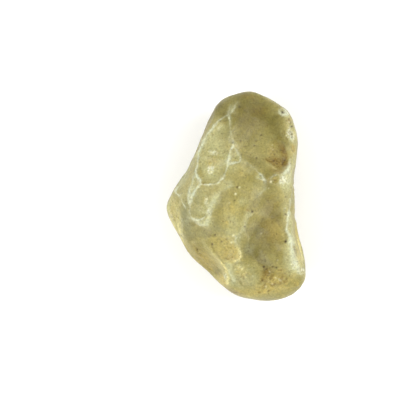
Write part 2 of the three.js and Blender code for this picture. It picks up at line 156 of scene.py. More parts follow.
# brinks worn pale and a little proud; their paleness is partly painted highlight where the edges catch the
# light
pebble["lines"]["crest"] = {
    "topEdge": [(0.1, 20.3, 30, 20), (-0.35, 19.3, 65, 24), (-0.85, 18.3, 65, 26), (-1.3, 17.4, 50, 22),
        (-1.65, 16.7, 80, 20)],
    "topTwin": [(-1.5, 19.6, 20, 25), (-1.6, 18.6, 30, 25), (-1.7, 17.6, 35, 22)],
    "columnCap": [(-1.8, 17.4, 50, 20), (-3, 16.7, 55, 22), (-4.2, 15.7, 60, 26), (-5.2, 14.5, 75, 28),
        (-5.9, 13.6, 65, 26)],
    "columnLeft": [(-5.9, 13.7, 40, 32), (-6.9, 12.1, 60, 36), (-7.6, 10.6, 70, 36), (-8.1, 9.3, 70, 34),
        (-8.25, 7.7, 70, 28), (-8.55, 6.2, 75, 26), (-8.8, 4.9, 95, 26), (-8.35, 4, 100, 24),
        (-7.95, 3.2, 100, 22), (-7.7, 2.6, 90, 20)],
    "columnRight": [(-1.65, 16.7, 75, 20), (-1.5, 15, 38, 40), (-1.3, 13.7, 35, 42), (-0.95, 12.4, 15, 34),
        (-0.85, 10.9, 60, 22), (-1.3, 10, 45, 24), (-1.6, 8.7, 85, 26), (-1.8, 7.4, 95, 28),
        (-2.1, 6.2, 60, 26), (-2.45, 5.2, 45, 24), (-2.8, 4.4, 40, 22), (-3.1, 3.7, 75, 20)],
    "roundFoot": [(-7.6, 2.5, 80, 20), (-6.4, 2.5, 90, 20), (-5.3, 2.45, 100, 20), (-4.2, 2.6, 95, 22),
        (-3.6, 3.25, 95, 22), (-3, 3.75, 95, 22)],
    "footOuter": [(-8.8, 4.7, 70, 24), (-9.3, 3.6, 55, 30), (-9.9, 1.9, 65, 34), (-10.2, 0.5, 75, 34),
        (-10.3, -0.8, 60, 28), (-10.2, -1.8, 40, 24)],
    "footInner": [(-7.8, 2.4, 40, 22), (-8.5, 1.7, 75, 28), (-9.2, 0.7, 80, 30), (-9.7, -0.6, 85, 28),
        (-10.1, -2.2, 70, 22), (-10.1, -3.4, 50, 22), (-9.8, -4.4, 40, 24), (-9.2, -5.1, 30, 24)],
    "footRight": [(-3.6, 1.3, 15, 60), (-4.4, 0.3, 35, 70), (-5.1, -0.9, 50, 70), (-5.6, -2, 42, 55),
        (-5.8, -3.1, 55, 60), (-5.9, -4.4, 50, 60), (-6.3, -5.4, 40, 50)],
    "footBottom": [(-9.5, -4.8, 50, 24), (-8.7, -5.2, 95, 22), (-7.7, -5, 95, 20), (-7, -4.6, 50, 18),
        (-6.7, -3.9, 40, 18)],
    "footSill": [(-8.9, -5.8, 30, 35), (-8.2, -6.1, 45, 40), (-7.2, -6.25, 50, 45), (-6.3, -6, 38, 45),
        (-5.8, -5.2, 28, 45)],
    "shoulderEdge": [(-9.7, 7.2, 30, 15), (-10.6, 5.3, 40, 18), (-11.5, 3.7, 45, 18), (-12.4, 2.2, 60, 18),
        (-13.1, 1, 100, 22), (-12.5, 0.2, 90, 22), (-12.1, -0.4, 10, 20)],
    "shoulderFoot": [(-11.8, -0.8, 60, 30), (-11.6, -1.5, 60, 24), (-11.3, -2.1, 80, 22),
        (-10.9, -2.8, 45, 22)],
    "tipEdge": [(-12.4, -1, 15, 20), (-11.95, -3.4, 20, 25), (-11.8, -5.6, 20, 25), (-11.75, -7.2, 25, 25),
        (-11.6, -8.8, 20, 25)],
    "bowlEdge": [(-0.9, 12.3, 20, 35), (-0.3, 11.3, 15, 35), (0.3, 10.3, 12, 30)],
    "wedgeEdge": [(-0.9, 10.9, 40, 18), (-0.45, 10.3, 50, 20), (0.05, 9.6, 50, 22), (0.45, 8.9, 50, 24),
        (0.75, 8.2, 45, 22), (0.5, 7.3, 75, 22), (-0.55, 7, 80, 22), (-1.7, 6.95, 70, 20)],
    "crownFoot": [(0.9, 8.1, 20, 35), (1.8, 7.3, 18, 40), (3, 6.4, 22, 40), (3.9, 5.6, 30, 36),
        (4.8, 4.9, 50, 22), (5.4, 4.2, 75, 20), (5.8, 3.4, 90, 20)],
    "wink": [(5.8, 3.3, 85, 20), (5, 3.5, 65, 20), (4.2, 3.9, 45, 24)],
    "saddleTop": [(6, 2.2, 10, 30), (5.7, 1.2, 30, 30), (4.8, 0.3, 30, 30), (3.7, -0.8, 15, 30)],
    "cellShelf": [(-3.9, 0.4, 15, 30), (-2.8, 1.2, 30, 35), (-1.6, 1.9, 30, 35), (-0.5, 2.3, 15, 30)],
    "saddleLeft": [(3.1, -3.9, 25, 30), (2.1, -5.3, 20, 50), (1.3, -7.2, 20, 55), (0.2, -8.6, 30, 45),
        (-0.3, -9.5, 50, 36), (0.4, -10.8, 30, 34), (1, -12.2, 15, 35)],
    "thimbleRim": [(7.2, 3.4, 30, 18), (7.6, 4.1, 40, 18), (8.3, 4.4, 40, 20), (9, 4.3, 35, 20)],
    "rightTop": [(11.4, 7.9, 50, 26), (11.3, 6.6, 90, 34), (11, 5.7, 100, 40), (10.3, 4.9, 85, 42),
        (9.5, 4.5, 50, 30)],
    "rightSide": [(11.4, -0.6, 50, 30), (11.4, -1.6, 80, 32), (11.2, -2.8, 40, 26), (11, -4.2, 90, 36),
        (10.8, -5.8, 75, 32), (10.6, -7, 95, 34), (11.2, -8.3, 85, 34), (11.6, -10, 90, 42),
        (11.8, -11.4, 85, 50), (12.1, -13, 75, 60), (12.4, -14.2, 70, 70), (13.2, -15.8, 50, 50)],
    "knobRim": [(9.7, 18.7, 60, 26), (9.15, 18.3, 75, 28), (9.15, 17.7, 75, 28), (9.75, 17.35, 65, 30),
        (10.4, 17.7, 75, 34), (10.35, 18.4, 60, 30), (9.7, 18.7, 60, 26)],
    "footSpur": [(-2, -15.4, 30, 30), (-1.5, -16.6, 45, 30), (-0.9, -17.6, 55, 26), (-0.35, -18.4, 40, 24)],
}
# painted light: golden edges where light coming through the glass gathers
pebble["lines"]["glow"] = {
    "tongueLip": [(-3.2, -8.2, 20, 25), (-1.4, -9.2, 35, 30), (-0.2, -10.4, 55, 34), (0.5, -11.9, 75, 36),
        (0.7, -13, 85, 34), (0.1, -13.8, 75, 32), (-1, -14, 40, 30)],
    "footBand": [(-7.2, -9.9, 20, 55), (-6, -11.4, 35, 50), (-4.7, -12.9, 45, 40), (-3.3, -14.3, 68, 32),
        (-2.4, -15.7, 88, 38), (-2, -17.2, 100, 42), (-2, -18.8, 92, 38)],
    "honeyEdge": [(8, -6, 15, 22), (9, -6.7, 30, 22), (9.7, -7.9, 35, 22), (10.2, -9.1, 20, 22)],
    "bottomFleck": [(1.5, -16.8, 40, 25), (2.1, -17.8, 55, 25), (2.6, -18.8, 35, 25)],
    "footTop": [(-10.5, -11.3, 15, 50), (-9.4, -10.1, 25, 60), (-8.1, -9.6, 25, 60), (-6.8, -9.8, 15, 50)],
    "heelLip": [(2.2, -13.1, 15, 25), (3.3, -14, 32, 25), (4.4, -15.1, 32, 25), (5, -16.3, 20, 25)],
    "tipRim": [(-15, -2, 30, 40), (-14.6, -4.4, 55, 50), (-13.9, -6.4, 85, 55), (-12.9, -8.2, 100, 50)],
    "cheekRim": [(12.7, -7.8, 30, 20), (13.2, -10, 70, 26), (13.7, -12, 80, 30), (14.3, -14.2, 60, 30)],
    "tipFoot": [(-12.6, -5.8, 55, 30), (-12.3, -7.4, 90, 40), (-12, -8.8, 80, 35), (-11.2, -10.4, 35, 30)],
    "rustLip": [(6.6, 6.9, 20, 30), (7.8, 6, 35, 35), (9.2, 5.6, 30, 30)],
    "bottomRim": [(-0.2, -21, 40, 20), (1.6, -21.5, 50, 20), (3.4, -21.7, 40, 20)],
    "beadTop": [(0.3, -15.2, 60, 30), (0.9, -15.4, 80, 35), (1.7, -15.9, 50, 25), (2.1, -16.6, 40, 20)],
}
# painted shade and shadow: dark lines along creases, brinks and thick edges
pebble["lines"]["crease"] = {
    "tongueLeft": [(-6.4, -9.5, 35, 22), (-5.2, -11.2, 70, 24), (-4.1, -12.7, 65, 22), (-3.1, -14, 50, 20),
        (-2.5, -14.8, 30, 20)],
    "heelEdge": [(2.4, -12.3, 50, 28), (3.6, -13.2, 80, 28), (4.9, -14.4, 100, 30), (5.8, -15.5, 90, 30),
        (5.7, -17, 60, 28), (5.5, -18.4, 40, 25)],
    "tongueFoot": [(1.6, -12.6, 30, 30), (1.3, -14.2, 55, 30), (-0.2, -14.6, 50, 25), (-0.9, -15.6, 60, 28),
        (-0.6, -16.8, 40, 25)],
    "saddleEdge": [(6.4, -3.4, 45, 25), (7.4, -4.3, 65, 32), (8.4, -5.1, 75, 34), (9.5, -6.1, 65, 30),
        (10.2, -7.1, 55, 25), (10.9, -8.4, 30, 20)],
    "saddleLimb": [(6.4, -3.4, 25, 30), (5.6, -4.8, 30, 50), (4.6, -6.6, 40, 55), (3.9, -7.9, 35, 50)],
    "bottomFold": [(-0.4, -17.4, 40, 25), (0.6, -18.3, 50, 30), (1.6, -19.4, 45, 30), (3.2, -20, 30, 30)],
    "crownRight": [(9.9, 14.9, 30, 30), (10.3, 13.2, 60, 25), (10.8, 11.9, 60, 22), (11.1, 10.4, 30, 20)],
    "leftRim": [(-5.6, 16.4, 20, 35), (-6.9, 13.8, 40, 40), (-8.3, 10.6, 40, 40), (-9.8, 7.2, 45, 40),
        (-11.4, 4.4, 40, 35), (-12.6, 2.6, 20, 30)],
    "footDark": [(-4.7, -15.7, 30, 30), (-4.2, -16.3, 60, 45), (-3.8, -16.8, 40, 35)],
    "cellTop": [(-7, 8.3, 15, 30), (-5.6, 8.4, 35, 30), (-4.2, 8.2, 15, 30)],
    "columnCapShade": [(-4, 16.6, 40, 18), (-3.2, 16, 40, 18)],
    "middleLeft": [(-2.6, 1.6, 20, 40), (-3.6, -0.2, 50, 40), (-4.6, -2.4, 50, 40), (-5.2, -4.6, 30, 40)],
}
# rusty edges
pebble["lines"]["iron"] = {
    "rustEdge": [(6.2, 7.8, 50, 24), (7.2, 7.2, 70, 26), (8.3, 6.6, 80, 28), (9.5, 6.35, 80, 28),
        (10.7, 6.8, 50, 25)],
    "rustRight": [(10.7, 7.4, 60, 35), (10.4, 8.8, 50, 40), (9.8, 10.2, 42, 45), (9, 11.2, 32, 40),
        (8, 11.3, 15, 30)],
    "bottomEdge": [(-3.2, -19.6, 40, 20), (-1.6, -20.4, 80, 26), (0.2, -21.1, 90, 28), (1.6, -21.5, 60, 24)],
    "crustEdge": [(5.7, -15.3, 50, 28), (6.1, -16.4, 70, 40), (5.7, -17.5, 50, 35), (5.3, -18.4, 60, 30)],
    "cheekStreak": [(11.9, -9.8, 30, 16), (12.3, -11.3, 70, 20), (12.6, -12.8, 60, 20)],
    "tongueSpots": [(-3, -13.2, 50, 30), (-2, -13.6, 70, 30), (-1, -13.1, 50, 30)],
}
# Patches of the upper face: x, y, half widths, turn, and in hundredths strength and any softness of its own
pebble["patches"] = {}
# pale glass: partly milky glass, partly painted light where more light comes through thin glass
pebble["patches"]["milk"] = [
    (-6.6, 10, 2.3, 4, -22, 60), (-4.2, 12.2, 2.2, 2.6, -20, 35), (-4.6, 9.6, 1.8, 1.3, -20, 35),
    (-3.6, 14.9, 1.3, 1.5, -28, 50), (-5.6, 5.6, 2, 2.4, 0, 75), (-1.9, 7.8, 0.9, 2.2, 0, 60),
    (-1.3, 5.2, 1.2, 1.6, 0, 30), (-9.5, 1.2, 0.9, 3.2, -14, 65), (-7.2, -1.6, 1.8, 3.4, -14, 45),
    (-7.2, -5.7, 1.9, 0.8, -6, 50), (-4.8, -1.2, 1.1, 2.8, -24, 70), (-7.4, 10.9, 0.6, 2.4, -32, 35),
    (11, -12.4, 1.3, 4.2, -4, 50), (-2.4, 2.3, 1.8, 0.9, 30, 30), (-6.9, -5.8, 1.5, 0.6, -8, 40),
    (-5.9, -4.4, 0.8, 1.8, 0, 50), (-10.6, 5.2, 0.7, 3.6, -32, 40), (-9.3, 7.8, 0.7, 3.4, -26, 25),
    (-11.8, 2.6, 0.8, 2.4, -30, 50), (-14.5, -1.4, 0.6, 2.2, -10, 80), (-1, 18.8, 0.7, 1.6, -28, 70),
    (-3.6, 17, 2, 0.6, 44, 20), (-11.4, 0.2, 0.7, 1.3, -20, 40), (-0.8, -13.6, 1.6, 1, -20, 40),
    (2.6, 6, 2.2, 0.9, -22, 20), (4.8, 4.1, 0.9, 0.7, 40, 50), (4.7, 0.9, 1, 1.8, -38, 20),
    (-1, -4.8, 2, 2.6, -10, 40), (-1.4, -7.6, 1.8, 1.2, -10, 55), (0.3, -9.2, 0.7, 1.6, 24, 60),
    (1.6, -5.8, 0.8, 2.2, -28, 45), (2.8, -3.9, 0.6, 1, -45, 50), (-1.3, -17, 0.6, 1.8, 24, 80),
    (1, -15.9, 1, 1.1, 0, 50), (0.8, -18.2, 3.2, 1.6, 0, 60), (10.6, 3.2, 1.5, 2.2, -12, 95),
    (11.1, 0.8, 1.1, 2.2, 8, 35), (10.3, -2.9, 0.8, 1.2, 0, 40), (12.1, 6.4, 0.6, 2.6, 0, 65),
    (11.7, 13.8, 0.9, 3, 10, 85), (10.3, 17.9, 1.2, 1.1, 0, 80), (12.1, 0, 0.5, 3.6, 0, 10),
    (11.4, -5.4, 0.7, 2.4, 6, 80), (11.9, -10.6, 0.8, 3.4, -6, 100), (12.4, -14.6, 1.9, 2.6, 0, 100),
    (6.6, 10.6, 2.2, 1.6, -20, 20), (9.3, -17.6, 1.4, 0.7, 10, 30), (3.2, -16.6, 1.5, 2.4, 16, 35),
    (-1.5, -14.9, 0.9, 1.6, 24, 80), (1.2, -1.4, 1.6, 1.2, 0, 50), (-4, 3.8, 1.4, 1, 20, 40),
    (-13.2, -3.9, 1.2, 4.4, 14, 60), (-5.8, 4, 1.6, 0.9, 0, 35), (-2, 2.4, 1.4, 1.2, 0, 35),
    (-2, -12.4, 1.8, 1.2, -38, 50), (-3.2, 7.6, 1.1, 3.2, 0, 40), (0.6, 7.6, 1.4, 0.7, -10, 35),
    (0.8, 19.6, 1.4, 1, -20, 35), (0.2, -15.8, 1.8, 2.2, 0, 30), (-1, -5.6, 1.4, 1, 0, 35),
    (-0.4, 5.8, 1.2, 0.8, 0, 30), (-0.2, 8.6, 0.9, 1.5, 0, 50), (-8, -3.6, 1, 1.2, 0, 30),
    (-7.6, -8.1, 1.3, 0.9, 0, 40), (13.2, -11, 0.6, 2.4, 8, 40),
]
# painted shade: darker olive where the glass is thick and less light comes through
pebble["patches"]["shade"] = [
    (2.6, 20, 6, 2.6, -14, 62), (2.8, 18, 3.2, 2.2, -10, 80), (7.8, 15.4, 2.2, 3, 14, 65),
    (3.4, 15.6, 4.2, 3.4, 8, 65), (2, 11, 3, 3, 0, 25), (9.4, 11.4, 1.2, 3.2, 12, 70),
    (2.2, -12.4, 1.2, 0.9, -30, 30), (2.6, -7.2, 0.9, 1.4, -20, 25), (6, 7.6, 1.2, 1.2, 0, 30),
    (2.3, 6, 1, 0.7, -20, 20), (8, 11.1, 1, 0.9, 0, 30), (-9.6, -5.9, 0.9, 0.7, 0, 60),
    (-6.3, 14.6, 0.5, 2, -30, 40), (-13.8, -4.2, 0.8, 1.5, 10, 30), (-11.3, -4, 0.6, 2.6, 4, 35),
    (2.4, -4, 0.8, 0.9, 0, 30), (8, -6.2, 1.2, 0.8, 0, 35), (8, 4.4, 0.8, 0.5, 0, 40),
    (7.4, 11.5, 1.2, 0.8, 0, 25), (10, -14.2, 0.8, 1.2, 0, 30), (-10, -9, 1, 1, 0, 35),
    (3.8, 7.3, 2.8, 0.9, -30, 55), (7, 5, 2, 1, 10, 45), (7.8, 1, 1.6, 2.2, 8, 30),
    (7.6, -2.4, 2.2, 2.4, 12, 75), (8.4, -4.3, 0.9, 1.6, 50, 60), (4.4, -7.8, 1.5, 1.3, 10, 75),
    (2.9, -10.8, 2.2, 2.8, 15, 50), (6.2, -11, 2.8, 2.2, 0, 50), (7.6, -7.8, 2.2, 2.6, 20, 50),
    (5.6, -5.6, 1.8, 1.6, -10, 40), (4.6, -13.2, 2.4, 1, -38, 60), (8.6, -12.8, 1.9, 2.2, 0, 40),
    (-3.5, -2.4, 0.8, 3.2, -16, 45), (-4.4, -6.6, 1.4, 1.4, -10, 50), (-8.8, -7.8, 2.8, 1.5, -6, 42),
    (-5.8, -8.4, 2.6, 0.8, -12, 35), (-4.3, -16.3, 0.9, 0.7, -45, 90), (-4.4, 19, 1.6, 2.4, -30, 60),
    (-5.6, 17, 0.4, 2.6, -26, 80), (1.6, 3.4, 2.4, 1.2, -10, 15), (7.8, -17.4, 2.6, 1.8, 10, 70),
    (0.2, -9.2, 0.8, 1.6, 24, 30), (-2.4, 17.2, 1.6, 1.6, -30, 50), (6.6, 3, 1.1, 1.8, 10, 80),
    (4, -1.4, 1.3, 2.2, -40, 55), (-11.1, -6.6, 1, 1.8, 0, 50), (0.2, 15.6, 1.4, 2.6, 0, 35),
    (5.6, 9.2, 2.4, 1.4, -10, 25), (6.4, -14.4, 1.6, 1, -30, 50), (-8, -12.6, 1.5, 4.4, 42, 60),
    (-7, -12.6, 0.9, 1.8, 42, 25), (1.3, -12, 0.9, 0.9, 0, 30), (-5.6, -15.4, 1.1, 2.2, 45, 60),
    (-1.9, 16.9, 1.2, 1, -30, 40), (9.2, 16.2, 1.2, 1.6, 10, 35), (10.9, 18.9, 1.2, 0.6, -40, 40),
    (1.2, 12.8, 1.6, 1.4, 0, 20), (5, -10.2, 2.6, 3, 0, 20), (3.2, 6.2, 1.6, 0.8, -20, 25),
    (8.4, 3.5, 0.8, 0.8, 0, 55),
]
# greyish, wind-dulled glass
pebble["patches"]["smoke"] = [
    (-10.9, -4.2, 0.9, 3, 4, 100), (-10.4, -7.8, 1.6, 1.6, 0, 50), (-9.6, -4.4, 0.8, 1, 0, 40),
    (-4.8, -10.4, 1.2, 0.7, -40, 30), (7.2, 12.4, 1.4, 1, 0, 35), (1.4, -7.8, 0.8, 2.4, -20, 50),
    (4.6, -7.6, 1, 1.2, 0, 40), (2.2, -11.6, 1.2, 1.6, -25, 70), (-4.2, -16, 0.8, 0.5, -40, 40),
    (0.6, -14.4, 1.2, 0.5, -20, 60), (-3.2, -7.6, 2.4, 0.9, -16, 40), (-1.6, 12.8, 0.8, 4.4, 8, 55),
    (-0.8, -18.8, 0.7, 1, 0, 50), (5.9, 1.6, 0.5, 1.4, 10, 50), (1.6, -19.2, 1.4, 0.8, 0, 30),
    (-8.8, -2.2, 1.2, 3.4, -10, 45), (10.8, -12.6, 0.8, 2, 0, 40), (-2.6, 9.4, 0.9, 3.4, 6, 40),
    (4.4, 1.8, 1.6, 1.8, 0, 40), (3, -17.2, 1.8, 2.4, 16, 40), (-2.2, -15.2, 0.8, 1.2, 20, 30),
    (-3.4, 13.2, 1.6, 1.8, 0, 30), (-8.4, 0.4, 1.4, 1.6, 0, 50), (-5, -6.4, 2, 1.4, 0, 40),
    (-11.4, 4.6, 0.9, 4.6, -30, 40),
]
# golden glass
pebble["patches"]["honey"] = [
    (-2.6, -11.4, 4.3, 2.4, -36, 45, 12), (-1, -12.6, 2.2, 1.5, -36, 60), (8.4, -7.4, 1.4, 2.3, 30, 55),
    (7.2, -8.6, 1.6, 1.8, 10, 20), (-13.4, -3.6, 1.3, 4.2, 10, 50), (-8.2, -12.6, 1.6, 4.6, 40, 35),
    (-3.3, -17.6, 1.7, 0.8, -48, 60), (-6.4, -14, 1.5, 3, 44, 60), (0.9, -16, 1.1, 1.2, 0, 60),
    (-3, -18.6, 1.2, 0.9, -40, 80), (8.2, -17.8, 3.6, 1.8, 12, 60), (6.8, -20.2, 4.6, 1, 6, 70),
    (2, -20.8, 3.4, 0.7, -12, 45), (9.4, 7, 1.4, 0.9, 0, 70), (12.6, -13.4, 0.9, 3, 4, 30),
    (6.9, 3.6, 0.8, 1.2, 0, 40), (-1.6, -4.4, 1.8, 3.6, -12, 35), (2.2, -3.2, 0.4, 0.3, 0, 90),
    (-2.2, -5.8, 0.4, 0.4, 0, 90), (7.4, 9.8, 1.5, 1.9, -10, 40), (7.6, -1.8, 2.2, 2.2, 0, 35),
    (-5.6, 6.4, 1.5, 1.6, 0, 35), (-5.5, 7.4, 1.6, 0.8, 0, 40), (12, 9.9, 0.6, 1.6, 2, 70),
    (13.2, -9.6, 0.7, 4.4, 8, 90), (11, -12.9, 0.8, 2, 0, 25), (13.3, -13.6, 0.8, 2.2, 0, 50),
    (1, 4.6, 0.8, 0.6, 0, 50), (0.2, -2.6, 2.4, 1.8, 0, 35), (8.4, 3.5, 0.8, 0.8, 0, 60),
    (-11.8, 4.4, 0.5, 2.6, -30, 20),
]
# rusty stain
pebble["patches"]["iron"] = [
    (8.7, 9.4, 1.8, 2.4, 20, 33), (12.4, -12.8, 0.6, 1.4, 0, 25), (-1.4, -7.6, 1.4, 0.9, 0, 25),
    (3.4, -2.6, 1.6, 0.8, -20, 20), (8.8, 7.3, 2.3, 0.9, -12, 85), (10.1, 9, 0.8, 2, 10, 60),
    (7.4, 9.4, 1, 1.6, 20, 25), (6.6, -16.4, 1.5, 1.1, 15, 60), (6, -18.2, 0.5, 0.4, 0, 100),
    (9.6, -16.7, 1.6, 0.7, 20, 40), (8.4, -19, 2.2, 0.6, 10, 40), (4.8, -20.7, 0.5, 0.25, 0, 100),
    (-2, -12.4, 2.2, 1.1, -38, 30), (-7.6, -13.2, 1.8, 3.8, 40, 35), (-14.2, -2.8, 0.4, 2.6, 12, 20),
    (5.4, 18.4, 1.8, 1.2, 0, 25), (2, 21.4, 2.4, 0.6, -8, 40), (11.6, 13.8, 0.6, 1.6, 8, 30),
    (11.3, 16.2, 0.5, 0.9, 0, 35), (11.9, 10.4, 0.6, 0.9, 0, 35), (12.6, -11.4, 0.4, 1.6, 14, 20),
    (-5.4, 7.4, 1.3, 0.6, 0, 35), (-3, 15.6, 1.2, 0.8, 0, 35), (2.2, -3.2, 0.4, 0.3, 0, 70),
    (8.4, 3.4, 0.5, 0.5, 0, 40), (7.4, -7.4, 3.4, 5, 10, 40), (3, 16.6, 3.4, 4.6, 0, 30),
    (8.6, 5.6, 2.4, 0.9, -10, 55), (2, -18, 2.6, 1.4, 0, 30), (7.4, -1.5, 2, 2, 0, 20),
]
# frosted, almost white: partly real frosting, partly painted sheen where faces catch the light
pebble["patches"]["frost"] = [
    (10.6, 3.4, 1.3, 1.4, 0, 45), (11.2, 5.6, 0.5, 1.2, 8, 60), (9.8, 3.5, 0.7, 1.1, 0, 80),
    (12.6, -14.8, 1.1, 1.6, 10, 65), (13.9, -16.2, 0.9, 0.9, 0, 70), (11.7, -10.8, 0.35, 2.6, -6, 40),
    (10.2, -2.9, 0.4, 0.5, 0, 50), (11.4, 13.4, 0.7, 1.7, 8, 70), (12, 12.4, 0.35, 1.2, 0, 60),
    (10.5, 17.7, 0.7, 0.7, 0, 70), (-5.1, 9.3, 1.3, 0.5, -10, 55), (-5.6, 5.6, 0.8, 1.2, 20, 75),
    (-3.7, 14.6, 0.6, 0.7, -20, 40), (-6.5, -1.2, 0.5, 1.3, 8, 55), (-6.1, -3.4, 0.4, 0.5, 0, 70),
    (-8.5, -5.2, 0.8, 0.3, -6, 40), (-7.7, -3, 0.7, 0.7, 0, 35), (-6.2, -4.8, 0.5, 0.9, 0, 25),
    (-2.3, -17.6, 0.4, 1.6, 20, 45), (12.2, -13.6, 0.8, 2.2, 0, 30), (-14.1, -4.6, 0.6, 3, 14, 40),
    (1, -15.4, 0.5, 0.4, 0, 40), (9, -17.8, 0.6, 0.3, 0, 40), (0.8, 8.2, 0.4, 0.4, 0, 25),
    (-9.4, 8, 0.6, 4, -27, 15), (9.9, 17.9, 0.9, 0.8, 0, 45), (-4.9, 9.2, 1.4, 0.9, -10, 20),
    (-0.3, -8.6, 0.3, 0.3, 0, 60),
]
# lumpy crust in the sheltered edges
pebble["patches"]["crust"] = [
    (8.2, -17.4, 4.2, 2, 14, 100), (7, -19.8, 3.6, 1.6, 4, 90), (12, -18.4, 2.6, 2.4, 0, 70),
    (11.5, 14.4, 1.1, 3, 8, 90), (12, 9.6, 0.7, 2.4, 0, 50), (8.6, 8.2, 1.8, 1.8, 0, 35),
    (-1.8, -12, 3, 1.8, -38, 60), (12.4, -12.6, 1, 3.4, 0, 40), (-7.4, -13.4, 2, 4.6, 40, 50),
    (-9.6, 1.2, 0.7, 2.8, -12, 50), (1.2, -17.4, 2.8, 2.8, 0, 75), (-13.4, -3.8, 1.2, 4.4, 8, 80),
    (-7.2, -1.8, 1.6, 3, -14, 40), (-5.4, 5.8, 1.6, 2, 0, 40), (-0.2, 8.6, 0.9, 1.5, 0, 40),
    (-4.4, -16.6, 2.2, 1.2, -46, 40),
]
# How soft the edges of each kind's patches are
pebble["softness"] = {
    "milk": 0.7, "shade": 0.85, "smoke": 0.75, "honey": 0.7, "iron": 0.6, "frost": 0.65, "crust": 0.5,
}
# Clouds of each kind on the sides and the underside
pebble["sideClouds"] = {
    "size": 5.0, "fade": (0.0, 0.45), "shift": (100, 7),  # of the noise, for each kind in turn
    "strength": {
        "milk": 0.5, "shade": 0.4, "smoke": 0.3, "honey": 0.5, "iron": 0.35, "frost": 0.25, "crust": 0.3,
        "glow": 0.2, "crease": 0.2, "crest": 0.0,
    },
}
# Lone pinholes and glints (painted highlights) of the upper face: x, y, and in hundredths radius and strength
pebble["specks"] = {}
pebble["specks"]["pinhole"] = [
    (3.3, -3.4, 24, 100), (10.4, -9.8, 28, 120), (0.05, 1.9, 22, 90), (-0.5, -0.95, 20, 70),
    (-4.7, -8.4, 22, 80), (-5.3, -10.4, 24, 90), (-8.5, -11.6, 20, 70), (0.6, 19.1, 28, 70),
    (3.8, 18, 22, 40), (5.1, 18.6, 22, 40), (5.2, 13, 20, 80), (4.1, 11.8, 20, 60), (0.8, 11.8, 20, 60),
    (1.9, 12.3, 16, 40), (3.8, 10.8, 18, 60), (4.2, 8.1, 22, 80), (7.9, 7.5, 20, 90), (10.2, 7.6, 26, 90),
    (9.9, 7.2, 22, 80), (-0.9, 11.4, 20, 80), (-0.6, 9.4, 16, 40), (1, 8.8, 18, 50), (1.7, -6.6, 20, 70),
    (10.4, -3.9, 24, 70), (8.5, -8.2, 16, 60), (-3.3, -9.8, 20, 70), (-2.2, -9.3, 20, 70),
    (5.8, -15.2, 26, 100), (6.4, -15.7, 22, 80), (7.7, -15.2, 20, 90), (8.5, -15.4, 22, 100),
    (6.1, -13.9, 20, 70), (5.4, -18.1, 28, 80), (7.2, -14.9, 16, 50), (8.6, -13.8, 16, 50),
    (11.8, 14.9, 20, 80), (11.8, 13.2, 22, 90), (11.5, 13.7, 17, 70), (11.6, 15.6, 17, 70),
    (11.2, 16.5, 20, 60), (11.8, 12.6, 18, 70), (9.8, 18, 28, 120), (12, 9.6, 20, 60), (12.3, -13, 18, 50),
    (11.6, 8.2, 20, 50), (7.3, 9, 15, 60), (7.7, 9.6, 14, 50), (8.1, 8.9, 16, 60), (7.9, 10.3, 14, 50),
    (8.6, 9.6, 16, 50), (7, 8.3, 15, 50), (9, 10.7, 15, 50), (9.4, 9.8, 16, 60), (6.9, 9.7, 13, 40),
    (9.8, 6.8, 20, 70), (8.6, 6.9, 18, 60), (5.1, 4.3, 20, 60), (8.1, 3.3, 20, 50), (-3.4, 19.2, 20, 40),
    (-3.6, 16, 20, 60), (-0.6, -4.8, 16, 40), (0.4, 2.7, 14, 40), (2.7, -11.2, 20, 40), (4.4, 0, 16, 40),
    (-3, -3, 14, 40), (-12, -8.6, 20, 60),
]
pebble["specks"]["glint"] = [
    (-0.3, 0.4, 20, 110), (0.55, 1.8, 19, 80), (7.3, 3, 20, 110), (6.8, 1.6, 17, 40), (-0.8, -8.5, 20, 90),
    (-1.2, -10, 20, 80), (-0.9, 10.9, 17, 70), (-1.7, 16.7, 15, 70), (0.7, 8.2, 17, 60), (-6.6, -0.7, 20, 80),
    (-6.3, -1.6, 17, 60), (-6.2, -4.6, 20, 50), (-5.5, 5.1, 22, 90), (-5.7, 6.2, 17, 60), (-5.4, 9.3, 17, 50),
    (7.6, 10.9, 14, 40), (7.3, 10.2, 13, 40), (7.7, 9.9, 13, 40), (3.4, -17.2, 17, 40), (2.5, -14.9, 14, 40),
    (8.7, -13.8, 14, 50), (0.6, -8.9, 14, 40), (5.2, -8.1, 14, 35), (1.1, -15.7, 17, 60),
    (-1.6, -1.5, 17, 40), (11.2, 15.8, 17, 80), (12.4, 13.2, 15, 80), (10.6, 12.9, 17, 70),
    (-0.3, -15.8, 14, 40), (-3.6, 14.6, 17, 40), (8.3, -17.6, 19, 60), (6.2, -19.4, 20, 60),
    (9.4, -18.2, 17, 60), (7.6, -18.9, 17, 50), (7, -16.2, 15, 50),
]


def fadeBetween(low, high, value):
    share = np.clip((value - low) / (high - low), 0, 1)
    return share * share * (3 - 2 * share)


def catmullRom(a, b, c, d, t):
    return 0.5 * (2 * b + (c - a) * t + (2 * a - 5 * b + 4 * c - d) * t**2 + (3 * b - a - 3 * c + d) * t**3)


def outlineTable(steps=24):
    # closed curve through the outline's points, as bearings and radii about the hub
    points = np.array(pebble["outline"])
    count = len(points)
    where = np.arange(count * steps) / steps
    index = where.astype(int)
    around = [points[(index + k) % count] for k in (-1, 0, 1, 2)]
    curve = catmullRom(*around, (where - index)[:, None]) - pebble["hub"][:2]
    bearing = np.arctan2(curve[:, 1], curve[:, 0])
    order = np.argsort(bearing)
    return bearing[order], np.hypot(*curve.T)[order]


def unitVector(bearing, pitch):
    b, p = math.radians(bearing), math.radians(pitch)
    return np.array([math.cos(b) * math.cos(p), math.sin(b) * math.cos(p), math.sin(p)])


outlineBearing, outlineRadius = outlineTable()


